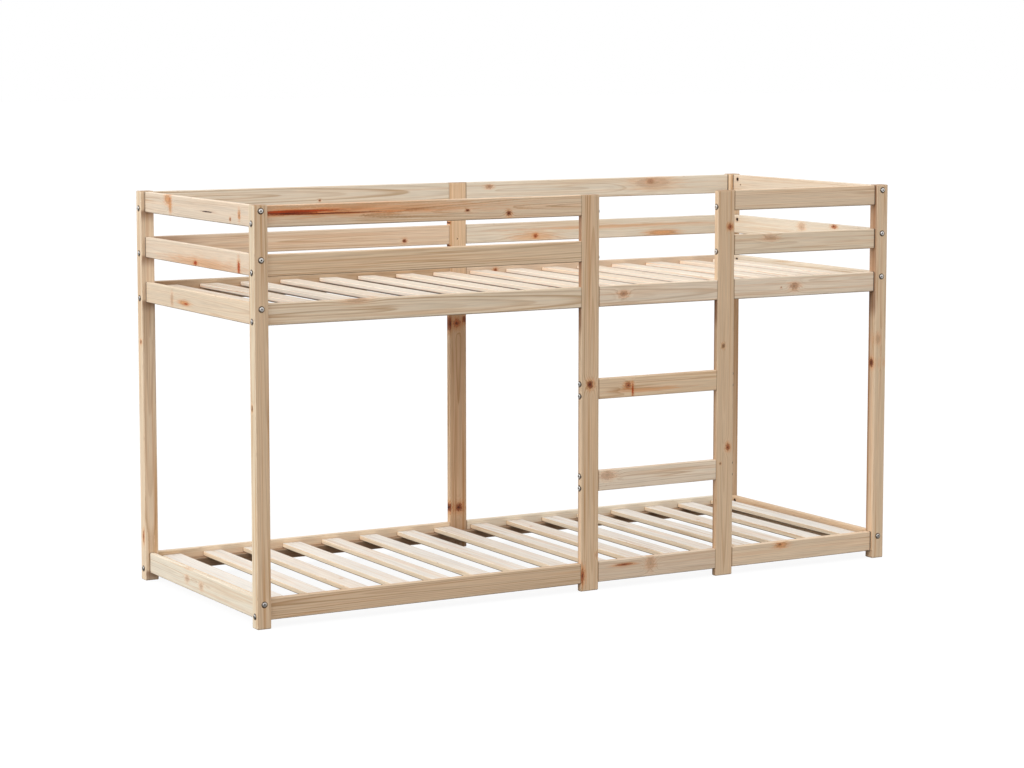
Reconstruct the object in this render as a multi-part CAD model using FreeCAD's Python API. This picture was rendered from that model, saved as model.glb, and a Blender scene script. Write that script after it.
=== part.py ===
import FreeCAD, Part
import os

# Low pine bunk bed with a ladder built into its front side.
#
# Frame: X runs along the bed, Y across it with the ladder side at -Y, Z is up.
# The origin is on the floor, under the middle of the bed. Millimetres.

# ---- Driving dimensions -------------------------------------------------------------

# Overall size, over the corner posts
BED_LENGTH = 2055.0
BED_WIDTH = 800.0
POST_HEIGHT = 1118.0

# Timber sections
CORNER_POST_X = 40.0
CORNER_POST_Y = 34.0
BOARD_HEIGHT = 58.0
BOARD_THICKNESS = 18.0
END_RAIL_THICKNESS = 15.0
EDGE_RADIUS = 3.0

# Levels of the undersides of the rails and rungs
LOWER_RAIL_Z = 22.0
RUNG_PITCH = 260.0
LADDER_STEPS = 3
GUARD_PITCH = 128.0

# Clear width between the two ladder posts
LADDER_GAP = 398.0

# Slatted bases
SLAT_COUNT = 16
SLAT_WIDTH = 58.0
SLAT_THICKNESS = 14.0
SLAT_PITCH = 126.7
FIRST_SLAT_OFFSET = 55.0
SLAT_END_GAP = 1.0
SLAT_EDGE_RADIUS = 2.5
LEDGER_WIDTH = 27.0
LEDGER_HEIGHT = 27.0
LEDGER_RISE = 5.0
LEDGER_END_GAP = 1.0
LEDGER_EDGE_RADIUS = 1.5

# M6 furniture bolts with domed heads, studs and their barrel nuts
BOLT_DIAMETER = 6.0
BOLT_HOLE = 6.6
HEAD_DIAMETER = 13.0
HEAD_HEIGHT = 2.5
HEAD_ROUNDING = 1.8
HEX_SIDES = 6
HEX_ACROSS_CORNERS = 4.6
HEX_DEPTH = 1.6
NUT_DIAMETER = 10.0
NUT_BORE = 10.2
NUT_THREAD = 6.2
NUT_SETBACK = 25.0
BORE_FLOOR = 2.0
BOLT_TAIL = 8.0
TAIL_CLEARANCE = 1.0

# Heights of the fixings above the underside of their rail
SIDE_BOLT_RISE = 11.0
SIDE_DOWEL_RISE = 42.0
END_BOLT_RISE = 44.0
END_DOWEL_RISE = 14.0
RUNG_BOLT_RISES = (11.0, 45.0)

# Plain wooden dowels beside each rail bolt
DOWEL_DIAMETER = 8.0
DOWEL_BORE = 8.2
DOWEL_IN_POST = 10.0
DOWEL_IN_RAIL = 20.0
DOWEL_CHAMFER = 1.0
DOWEL_END_GAP = 0.5

# Countersunk wood screws
SCREW_DIAMETER = 3.5
SCREW_HEAD_DIAMETER = 7.0
SCREW_HEAD_DEPTH = 2.0
SCREW_TIP_LENGTH = 3.0
SCREW_TIP_DIAMETER = 0.9
SCREW_CLEARANCE = 0.1
SCREW_SLOT_LENGTH = 4.0
SCREW_SLOT_WIDTH = 0.9
SCREW_SLOT_DEPTH = 1.0
SLAT_SCREW_LENGTH = 25.0
LEDGER_SCREW_LENGTH = 40.0
LEDGER_SCREW_GAPS = (0, 3, 6, 9, 12, 14)

# ---- Places worked out from them -----------------------------------------------------

TOLERANCE = 1e-6
X_AXIS = FreeCAD.Vector(1, 0, 0)
Y_AXIS = FreeCAD.Vector(0, 1, 0)
Z_AXIS = FreeCAD.Vector(0, 0, 1)

HALF_LENGTH = BED_LENGTH / 2
HALF_WIDTH = BED_WIDTH / 2
POST_FACE_X = HALF_LENGTH - CORNER_POST_X
POST_FACE_Y = HALF_WIDTH - CORNER_POST_Y
SIDE_FACE_Y = HALF_WIDTH - CORNER_POST_Y / 2 - BOARD_THICKNESS / 2
SIDE_MIDDLE_Y = HALF_WIDTH - CORNER_POST_Y / 2
END_MIDDLE_X = HALF_LENGTH - CORNER_POST_X / 2

LEVELS = {"lower": LOWER_RAIL_Z, "upper": LOWER_RAIL_Z + LADDER_STEPS * RUNG_PITCH}
LEVELS["guard"] = LEVELS["upper"] + GUARD_PITCH
LEVELS["top"] = LEVELS["guard"] + GUARD_PITCH
BUNK_LEVELS = ("lower", "upper")
RUNG_LEVELS = {"lower_rung": LOWER_RAIL_Z + RUNG_PITCH}
RUNG_LEVELS["upper_rung"] = RUNG_LEVELS["lower_rung"] + RUNG_PITCH

# Left and right faces of the board posts that stand between the corner posts
MIDDLE_POST = (-BOARD_HEIGHT / 2, BOARD_HEIGHT / 2)
LADDER_RIGHT_POST = (MIDDLE_POST[1] + LADDER_GAP, MIDDLE_POST[1] + LADDER_GAP + BOARD_HEIGHT)

LEFT_SPAN = (-POST_FACE_X, MIDDLE_POST[0])
LADDER_SPAN = (MIDDLE_POST[1], LADDER_RIGHT_POST[0])
FRONT_RIGHT_SPAN = (LADDER_RIGHT_POST[1], POST_FACE_X)
BACK_RIGHT_SPAN = (MIDDLE_POST[1], POST_FACE_X)

SIDES = {"front": -1, "back": 1}
ENDS = {"left": -1, "right": 1}

# ---- Shared stores -------------------------------------------------------------------

timber = {}
fittings = {}


def add_fitting(node, solid):
    """Put one more separate solid in a group of identical fittings."""
    fittings.setdefault(node, []).append(solid)


def place(shape, point, direction):
    """Copy a shape drawn along +Z so that it starts at point and runs along direction."""
    copy = shape.copy()
    copy.Placement = FreeCAD.Placement(point, FreeCAD.Rotation(Z_AXIS, direction))
    return copy


def drill(node, point, direction, diameter, depth):
    """Cut a round hole in one timber, starting at point."""
    cutter = Part.makeCylinder(diameter / 2, depth, point, direction)
    timber[node] = timber[node].cut(cutter)


# ---- Timber --------------------------------------------------------------------------

def rounded_bar(low, high, radius, axis=None):
    """Box from low to high; edges along axis are rounded, or every edge without one."""
    size = high - low
    bar = Part.makeBox(size.x, size.y, size.z, low)
    if axis is None:
        return bar.makeFillet(radius, bar.Edges)
    edges = [e for e in bar.Edges if e.tangentAt(e.FirstParameter).cross(axis).Length < TOLERANCE]
    return bar.makeFillet(radius, edges)


def side_bar(span, side, z):
    """Board of a long side, on edge, flush with that side's board posts."""
    ys = sorted((side * SIDE_FACE_Y, side * (SIDE_FACE_Y + BOARD_THICKNESS)))
    low = FreeCAD.Vector(span[0], ys[0], z)
    high = FreeCAD.Vector(span[1], ys[1], z + BOARD_HEIGHT)
    return rounded_bar(low, high, EDGE_RADIUS, X_AXIS)


def make_corner_posts():
    for side_name, side in SIDES.items():
        for end_name, end in ENDS.items():
            xs = sorted((end * POST_FACE_X, end * HALF_LENGTH))
            ys = sorted((side * POST_FACE_Y, side * HALF_WIDTH))
            low = FreeCAD.Vector(xs[0], ys[0], 0)
            high = FreeCAD.Vector(xs[1], ys[1], POST_HEIGHT)
            timber[f"{side_name}_{end_name}_post"] = rounded_bar(low, high, EDGE_RADIUS)


def make_board_post(node, faces, side):
    """Post made of a board standing on end, as high as the top rail."""
    ys = sorted((side * SIDE_FACE_Y, side * (SIDE_FACE_Y + BOARD_THICKNESS)))
    low = FreeCAD.Vector(faces[0], ys[0], 0)
    high = FreeCAD.Vector(faces[1], ys[1], LEVELS["top"] + BOARD_HEIGHT)
    timber[node] = rounded_bar(low, high, EDGE_RADIUS)


def make_side_rails():
    for level, z in LEVELS.items():
        timber[f"front_{level}_left_rail"] = side_bar(LEFT_SPAN, SIDES["front"], z)
        timber[f"front_{level}_right_rail"] = side_bar(FRONT_RIGHT_SPAN, SIDES["front"], z)
        timber[f"back_{level}_left_rail"] = side_bar(LEFT_SPAN, SIDES["back"], z)
        timber[f"back_{level}_right_rail"] = side_bar(BACK_RIGHT_SPAN, SIDES["back"], z)
    for level in BUNK_LEVELS:
        timber[f"front_{level}_ladder_rail"] = side_bar(LADDER_SPAN, SIDES["front"], LEVELS[level])


def make_rungs():
    for node, z in RUNG_LEVELS.items():
        timber[node] = side_bar(LADDER_SPAN, SIDES["front"], z)


def make_end_rails():
    for end_name, end in ENDS.items():
        for level, z in LEVELS.items():
            middle = end * END_MIDDLE_X
            low = FreeCAD.Vector(middle - END_RAIL_THICKNESS / 2, -POST_FACE_Y, z)
            high = FreeCAD.Vector(middle + END_RAIL_THICKNESS / 2, POST_FACE_Y, z + BOARD_HEIGHT)
            timber[f"{end_name}_end_{level}_rail"] = rounded_bar(low, high, EDGE_RADIUS, Y_AXIS)


def make_ledgers():
    """Battens inside the long rails that carry the slats."""
    reach = POST_FACE_X - LEDGER_END_GAP
    for level in BUNK_LEVELS:
        z = LEVELS[level] + LEDGER_RISE
        for side_name, side in SIDES.items():
            ys = sorted((side * SIDE_FACE_Y, side * (SIDE_FACE_Y - LEDGER_WIDTH)))
            low = FreeCAD.Vector(-reach, ys[0], z)
            high = FreeCAD.Vector(reach, ys[1], z + LEDGER_HEIGHT)
            timber[f"{side_name}_{level}_ledger"] = rounded_bar(low, high, LEDGER_EDGE_RADIUS, X_AXIS)


# ---- Slats ---------------------------------------------------------------------------

def slat_left(index):
    """X of a slat's left edge, counted from the left end of the bed."""
    return -HALF_LENGTH + FIRST_SLAT_OFFSET + index * SLAT_PITCH


def screw_shape(length, clearance=0.0):
    """Countersunk screw with its head's top at the origin, running along +Z."""
    head_radius = SCREW_HEAD_DIAMETER / 2 + clearance
    shank_radius = SCREW_DIAMETER / 2 + clearance
    shank_length = length - SCREW_HEAD_DEPTH - SCREW_TIP_LENGTH
    head = Part.makeCone(head_radius, shank_radius, SCREW_HEAD_DEPTH)
    shank = Part.makeCylinder(shank_radius, shank_length, Z_AXIS * SCREW_HEAD_DEPTH)
    tip_start = Z_AXIS * (length - SCREW_TIP_LENGTH)
    tip = Part.makeCone(shank_radius, SCREW_TIP_DIAMETER / 2, SCREW_TIP_LENGTH, tip_start)
    return head.fuse([shank, tip]).removeSplitter()


def screw(length):
    """The screw itself, with a cross recess in its head."""
    body = screw_shape(length)
    half = SCREW_SLOT_LENGTH / 2
    width = SCREW_SLOT_WIDTH
    along = Part.makeBox(2 * half, width, SCREW_SLOT_DEPTH, FreeCAD.Vector(-half, -width / 2, 0))
    across = Part.makeBox(width, 2 * half, SCREW_SLOT_DEPTH, FreeCAD.Vector(-width / 2, -half, 0))
    return body.cut([along, across])


def screw_hole(length):
    """Cutter for a screw, a little larger all round and longer."""
    return screw_shape(length + SCREW_CLEARANCE, SCREW_CLEARANCE)


def make_slats():
    """Both slatted bases, each slat held by one screw at each end."""
    down = -Z_AXIS
    screw_y = SIDE_FACE_Y - LEDGER_WIDTH / 2
    slat_reach = SIDE_FACE_Y - SLAT_END_GAP
    slat_screw = screw(SLAT_SCREW_LENGTH)
    hole = screw_hole(SLAT_SCREW_LENGTH)
    for level in BUNK_LEVELS:
        bottom = LEVELS[level] + LEDGER_RISE + LEDGER_HEIGHT
        top = bottom + SLAT_THICKNESS
        for index in range(SLAT_COUNT):
            left = slat_left(index)
            low = FreeCAD.Vector(left, -slat_reach, bottom)
            high = FreeCAD.Vector(left + SLAT_WIDTH, slat_reach, top)
            slat = rounded_bar(low, high, SLAT_EDGE_RADIUS, Y_AXIS)
            for side_name, side in SIDES.items():
                head = FreeCAD.Vector(left + SLAT_WIDTH / 2, side * screw_y, top)
                cutter = place(hole, head, down)
                slat = slat.cut(cutter)
                ledger = f"{side_name}_{level}_ledger"
                timber[ledger] = timber[ledger].cut(cutter)
                add_fitting("slat_screws", place(slat_screw, head, down))
            add_fitting(f"{level}_slats", slat)


def rail_at(side_name, level, x):
    """Name of the long side's rail that passes a given X."""
    if side_name == "front" and LADDER_SPAN[0] < x < LADDER_SPAN[1]:
        return f"front_{level}_ladder_rail"
    half = "left" if x < 0 else "right"
    return f"{side_name}_{level}_{half}_rail"


def screw_ledgers():
    """Screws from the inside through each ledger into its rails, between slats."""
    ledger_screw = screw(LEDGER_SCREW_LENGTH)
    hole = screw_hole(LEDGER_SCREW_LENGTH)
    for level in BUNK_LEVELS:
        z = LEVELS[level] + LEDGER_RISE + LEDGER_HEIGHT / 2
        for side_name, side in SIDES.items():
            for gap in LEDGER_SCREW_GAPS:
                x = slat_left(gap) + SLAT_WIDTH + (SLAT_PITCH - SLAT_WIDTH) / 2
                head = FreeCAD.Vector(x, side * (SIDE_FACE_Y - LEDGER_WIDTH), z)
                outward = Y_AXIS * side
                cutter = place(hole, head, outward)
                for node in (f"{side_name}_{level}_ledger", rail_at(side_name, level, x)):
                    timber[node] = timber[node].cut(cutter)
                add_fitting("ledger_screws", place(ledger_screw, head, outward))


# ---- Bolts, studs, barrel nuts and dowels ----------------------------------------------

# The nut bores of all long rails open towards the back, so none shows on the front or
# inside the back rails. Those of the end rails open towards the inside.

def bolt_shape(grip):
    """Bolt with its head above the origin and its shank along -Z."""
    head = Part.makeCylinder(HEAD_DIAMETER / 2, HEAD_HEIGHT)
    rim = [e for e in head.Edges if abs(e.BoundBox.ZMin - HEAD_HEIGHT) < TOLERANCE]
    head = head.makeFillet(HEAD_ROUNDING, rim)
    corners = Part.makePolygon(hexagon(HEX_ACROSS_CORNERS / 2, HEAD_HEIGHT))
    socket = Part.Face(corners).extrude(-Z_AXIS * HEX_DEPTH)
    length = grip + NUT_SETBACK + BOLT_TAIL
    shank = Part.makeCylinder(BOLT_DIAMETER / 2, length, FreeCAD.Vector(), -Z_AXIS)
    return head.cut(socket).fuse(shank)


def hexagon(radius, z):
    """Closed list of a hexagon's corners at height z."""
    corner = FreeCAD.Vector(radius, 0, z)
    turns = [FreeCAD.Rotation(Z_AXIS, 360 / HEX_SIDES * step) for step in range(HEX_SIDES + 1)]
    return [turn.multVec(corner) for turn in turns]


def barrel_nut(length):
    """Barrel nut centred on the origin, along Z, threaded across along X."""
    radius = NUT_DIAMETER / 2
    barrel = Part.makeCylinder(radius, length, -Z_AXIS * length / 2)
    start = -X_AXIS * NUT_DIAMETER
    thread = Part.makeCylinder(NUT_THREAD / 2, 2 * NUT_DIAMETER, start, X_AXIS)
    return barrel.cut(thread)


def seat_nut(node, rail, centre, mouth, thickness, bolt_direction):
    """Bore a rail from the face that looks along mouth and put a barrel nut in the bore."""
    face = centre + mouth * (thickness / 2)
    drill(rail, face, -mouth, NUT_BORE, thickness - BORE_FLOOR)
    turn = FreeCAD.Rotation(bolt_direction, FreeCAD.Vector(), mouth, "XZY")
    nut = barrel_nut(thickness - 2 * BORE_FLOOR)
    nut.Placement = FreeCAD.Placement(centre, turn)
    add_fitting(node, nut)


def bore_rail_end(rail, end_point, direction):
    """Clearance hole for a bolt or stud along a rail from its end."""
    drill(rail, end_point, direction, BOLT_HOLE, NUT_SETBACK + BOLT_TAIL + TAIL_CLEARANCE)


def bolt_rail(bolt_node, nut_node, post, rail, head_point, direction, grip, mouth, thickness):
    """Bolt through a post into a rail's end, with a barrel nut in the rail."""
    drill(post, head_point, direction, BOLT_HOLE, grip)
    end_point = head_point + direction * grip
    bore_rail_end(rail, end_point, direction)
    seat_nut(nut_node, rail, end_point + direction * NUT_SETBACK, mouth, thickness, direction)
    add_fitting(bolt_node, place(bolt_shape(grip), head_point, -direction))


def open_ledger(side_name, level, x, z):
    """Hole through a front ledger in line with the barrel nut's bore behind it."""
    if side_name == "front" and level in BUNK_LEVELS:
        inner = FreeCAD.Vector(x, LEDGER_WIDTH - SIDE_FACE_Y, z)
        drill(f"front_{level}_ledger", inner, -Y_AXIS, NUT_BORE, LEDGER_WIDTH)


def add_dowel(post, rail, end_point, direction):
    """Dowel across the joint between a post and the rail that runs off along direction."""
    start = end_point - direction * DOWEL_IN_POST
    drill(post, end_point, -direction, DOWEL_BORE, DOWEL_IN_POST + DOWEL_END_GAP)
    drill(rail, end_point, direction, DOWEL_BORE, DOWEL_IN_RAIL + DOWEL_END_GAP)
    dowel = Part.makeCylinder(DOWEL_DIAMETER / 2, DOWEL_IN_POST + DOWEL_IN_RAIL, start, direction)
    rims = [e for e in dowel.Edges if e.Closed]
    add_fitting("wooden_dowels", dowel.makeChamfer(DOWEL_CHAMFER, rims))


def fix_corner_posts():
    """Both rails that meet at each corner post, at every level."""
    for side_name, side in SIDES.items():
        for end_name, end in ENDS.items():
            post = f"{side_name}_{end_name}_post"
            for level, z in LEVELS.items():
                fix_side_rail_to_corner(post, side_name, side, end_name, end, level, z)
                fix_end_rail_to_corner(post, side, end_name, end, level, z)


def fix_side_rail_to_corner(post, side_name, side, end_name, end, level, z):
    rail = f"{side_name}_{level}_{end_name}_rail"
    along = -X_AXIS * end
    head = FreeCAD.Vector(end * HALF_LENGTH, side * SIDE_MIDDLE_Y, z + SIDE_BOLT_RISE)
    bolt_rail("side_rail_bolts", "side_rail_barrel_nuts", post, rail, head, along,
              CORNER_POST_X, Y_AXIS, BOARD_THICKNESS)
    open_ledger(side_name, level, end * (POST_FACE_X - NUT_SETBACK), z + SIDE_BOLT_RISE)
    joint = FreeCAD.Vector(end * POST_FACE_X, side * SIDE_MIDDLE_Y, z + SIDE_DOWEL_RISE)
    add_dowel(post, rail, joint, along)


def fix_end_rail_to_corner(post, side, end_name, end, level, z):
    rail = f"{end_name}_end_{level}_rail"
    along = -Y_AXIS * side
    head = FreeCAD.Vector(end * END_MIDDLE_X, side * HALF_WIDTH, z + END_BOLT_RISE)
    bolt_rail("end_rail_bolts", "end_rail_barrel_nuts", post, rail, head, along,
              CORNER_POST_Y, -X_AXIS * end, END_RAIL_THICKNESS)
    joint = FreeCAD.Vector(end * END_MIDDLE_X, side * POST_FACE_Y, z + END_DOWEL_RISE)
    add_dowel(post, rail, joint, along)


def fix_rungs():
    """Each rung end is held by two bolts through the whole width of its ladder post."""
    y = SIDES["front"] * SIDE_MIDDLE_Y
    posts = (("left_ladder_post", MIDDLE_POST[0], X_AXIS),
             ("right_ladder_post", LADDER_RIGHT_POST[1], -X_AXIS))
    for rung, z in RUNG_LEVELS.items():
        for post, outer_face, along in posts:
            for rise in RUNG_BOLT_RISES:
                head = FreeCAD.Vector(outer_face, y, z + rise)
                bolt_rail("rung_bolts", "rung_barrel_nuts", post, rung, head, along,
                          BOARD_HEIGHT, Y_AXIS, BOARD_THICKNESS)


def fix_guard_rails_to_ladder():
    """The guard rails end at the ladder posts and are bolted from the ladder's opening."""
    y = SIDES["front"] * SIDE_MIDDLE_Y
    for level in ("guard", "top"):
        z = LEVELS[level]
        joints = (("left_ladder_post", "left", MIDDLE_POST, -X_AXIS),
                  ("right_ladder_post", "right", LADDER_RIGHT_POST, X_AXIS))
        for post, half, faces, along in joints:
            head_face, rail_face = faces[::-1] if along.x < 0 else faces
            rail = f"front_{level}_{half}_rail"
            head = FreeCAD.Vector(head_face, y, z + SIDE_BOLT_RISE)
            bolt_rail("guard_rail_bolts", "side_rail_barrel_nuts", post, rail, head, along,
                      BOARD_HEIGHT, Y_AXIS, BOARD_THICKNESS)
            joint = FreeCAD.Vector(rail_face, y, z + SIDE_DOWEL_RISE)
            add_dowel(post, rail, joint, along)


def join_across(post, faces, side_name, level, left_rail, right_rail):
    """Stud through a board post with a rail, a barrel nut and a dowel on both sides."""
    y = SIDES[side_name] * SIDE_MIDDLE_Y
    z = LEVELS[level] + SIDE_BOLT_RISE
    drill(post, FreeCAD.Vector(faces[0], y, z), X_AXIS, BOLT_HOLE, faces[1] - faces[0])
    for rail, face, along in ((left_rail, faces[0], -X_AXIS), (right_rail, faces[1], X_AXIS)):
        end_point = FreeCAD.Vector(face, y, z)
        bore_rail_end(rail, end_point, along)
        centre = end_point + along * NUT_SETBACK
        seat_nut("side_rail_barrel_nuts", rail, centre, Y_AXIS, BOARD_THICKNESS, along)
        open_ledger(side_name, level, centre.x, z)
        joint = FreeCAD.Vector(face, y, LEVELS[level] + SIDE_DOWEL_RISE)
        add_dowel(post, rail, joint, along)
    reach = NUT_SETBACK + BOLT_TAIL
    start = FreeCAD.Vector(faces[0] - reach, y, z)
    length = faces[1] - faces[0] + 2 * reach
    add_fitting("joining_studs", Part.makeCylinder(BOLT_DIAMETER / 2, length, start, X_AXIS))


def join_side_rails():
    """Joints with a rail on both sides of a board post."""
    for level in LEVELS:
        join_across("back_middle_post", MIDDLE_POST, "back", level,
                    f"back_{level}_left_rail", f"back_{level}_right_rail")
    for level in BUNK_LEVELS:
        join_across("left_ladder_post", MIDDLE_POST, "front", level,
                    f"front_{level}_left_rail", f"front_{level}_ladder_rail")
        join_across("right_ladder_post", LADDER_RIGHT_POST, "front", level,
                    f"front_{level}_ladder_rail", f"front_{level}_right_rail")


# ---- Build and export ------------------------------------------------------------------

def build():
    make_corner_posts()
    make_board_post("left_ladder_post", MIDDLE_POST, SIDES["front"])
    make_board_post("right_ladder_post", LADDER_RIGHT_POST, SIDES["front"])
    make_board_post("back_middle_post", MIDDLE_POST, SIDES["back"])
    make_side_rails()
    make_rungs()
    make_end_rails()
    make_ledgers()
    make_slats()
    screw_ledgers()
    fix_corner_posts()
    fix_rungs()
    fix_guard_rails_to_ladder()
    join_side_rails()


def export():
    os.makedirs("parts", exist_ok=True)
    for node, shape in timber.items():
        shape.exportStep(f"parts/{node}.step")
    for node, solids in fittings.items():
        Part.makeCompound(solids).exportStep(f"parts/{node}.step")


build()
export()
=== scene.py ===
import math

import bpy
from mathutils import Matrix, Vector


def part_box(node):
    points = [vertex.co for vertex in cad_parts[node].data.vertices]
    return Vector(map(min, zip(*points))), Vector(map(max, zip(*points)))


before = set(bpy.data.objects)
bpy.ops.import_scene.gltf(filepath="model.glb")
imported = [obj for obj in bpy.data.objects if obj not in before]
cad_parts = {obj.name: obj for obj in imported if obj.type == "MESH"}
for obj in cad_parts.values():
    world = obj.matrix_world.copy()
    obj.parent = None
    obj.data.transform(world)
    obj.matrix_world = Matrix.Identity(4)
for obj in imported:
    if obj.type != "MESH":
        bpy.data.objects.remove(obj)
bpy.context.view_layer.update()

# Low bunk bed of untreated pine. The CAD boards and fittings keep their shapes. Every
# board gets its own wood, and the fittings get beech and steel. Lengths are in metres,
# or in mm where a comment says so or MM follows.

MM = 0.001


# ---- Short calls for building node trees ----------------------------------------------

class Nodes:
    """Adds nodes to one tree. Every call takes sockets or plain values and returns a socket."""

    def __init__(self, tree):
        self.tree = tree

    def add(self, kind, **settings):
        node = self.tree.nodes.new(kind)
        for name, value in settings.items():
            setattr(node, name, value)
        return node

    def feed(self, socket, value):
        if isinstance(value, bpy.types.NodeSocket):
            self.tree.links.new(value, socket)
        else:
            socket.default_value = value

    def fill(self, node, values):
        for socket, value in zip(node.inputs, values):
            self.feed(socket, value)

    def math(self, operation, *values, clamp=False):
        node = self.add("ShaderNodeMath", operation=operation, use_clamp=clamp)
        self.fill(node, values)
        return node.outputs[0]

    def vector(self, operation, *values):
        node = self.add("ShaderNodeVectorMath", operation=operation)
        self.fill(node, values)
        return node.outputs["Vector"]

    def combine(self, x, y, z):
        node = self.add("ShaderNodeCombineXYZ")
        self.fill(node, (x, y, z))
        return node.outputs[0]

    def separate(self, vector):
        node = self.add("ShaderNodeSeparateXYZ")
        self.feed(node.inputs[0], vector)
        return tuple(node.outputs)

    def smooth(self, value, low, high, start=0.0, end=1.0):
        """Smooth step from start at low to end at high."""
        node = self.add("ShaderNodeMapRange", interpolation_type="SMOOTHSTEP")
        self.fill(node, (value, low, high, start, end))
        return node.outputs[0]

    def mix(self, factor, a, b, blend="MIX"):
        node = self.add("ShaderNodeMix", data_type="RGBA", blend_type=blend)
        for index, value in ((0, factor), (6, a), (7, b)):
            self.feed(node.inputs[index], value)
        return node.outputs[2]

    def noise(self, vector, detail=2.0, roughness=0.5):
        """Noise about zero, from roughly -0.5 to 0.5, one unit of the vector to a lump."""
        node = self.add("ShaderNodeTexNoise")
        self.feed(node.inputs["Vector"], vector)
        node.inputs["Scale"].default_value = 1.0
        node.inputs["Detail"].default_value = detail
        node.inputs["Roughness"].default_value = roughness
        return self.math("SUBTRACT", node.outputs["Fac"], 0.5)

    def chance(self, value):
        node = self.add("ShaderNodeTexWhiteNoise", noise_dimensions="1D")
        self.feed(node.inputs["W"], value)
        return node.outputs["Value"]

    def grey(self, value):
        return self.combine(value, value, value)

    def group(self, tree, **values):
        node = self.add("ShaderNodeGroup", node_tree=tree)
        for name, value in values.items():
            self.feed(node.inputs[name], value)
        return node.outputs


def new_group(name, inputs, outputs):
    """Node group with named sockets. Returns the tree, its builder and its input sockets."""
    tree = bpy.data.node_groups.new(name, "ShaderNodeTree")
    for label, kind in inputs:
        tree.interface.new_socket(name=label, in_out="INPUT", socket_type=f"NodeSocket{kind}")
    for label, kind in outputs:
        tree.interface.new_socket(name=label, in_out="OUTPUT", socket_type=f"NodeSocket{kind}")
    n = Nodes(tree)
    return tree, n, n.add("NodeGroupInput").outputs


def close_group(n, values):
    node = n.add("NodeGroupOutput")
    for name, value in values.items():
        n.feed(node.inputs[name], value)


# ---- Pine -----------------------------------------------------------------------------

# Tones that multiply the wood's colour, and colours that cover it
BROWN_TONE = (0.74, 0.58, 0.43, 1)
BLUSH_TONE = (0.97, 0.84, 0.72, 1)
END_TONE = (0.50, 0.38, 0.28, 1)
HALO_TONE = (0.96, 0.62, 0.38, 1)
WORN_EDGE = (0.82, 0.69, 0.52, 1)
KNOCKED_EDGE = (0.42, 0.28, 0.17, 1)
KNOT_RIM = (0.18, 0.06, 0.035, 1)
KNOT_PIT = (0.045, 0.016, 0.010, 1)

# Shift of the noise per unit of seed, so that every board gets its own
SEED_SHIFT = (13.7, 7.3, 3.1)


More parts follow.
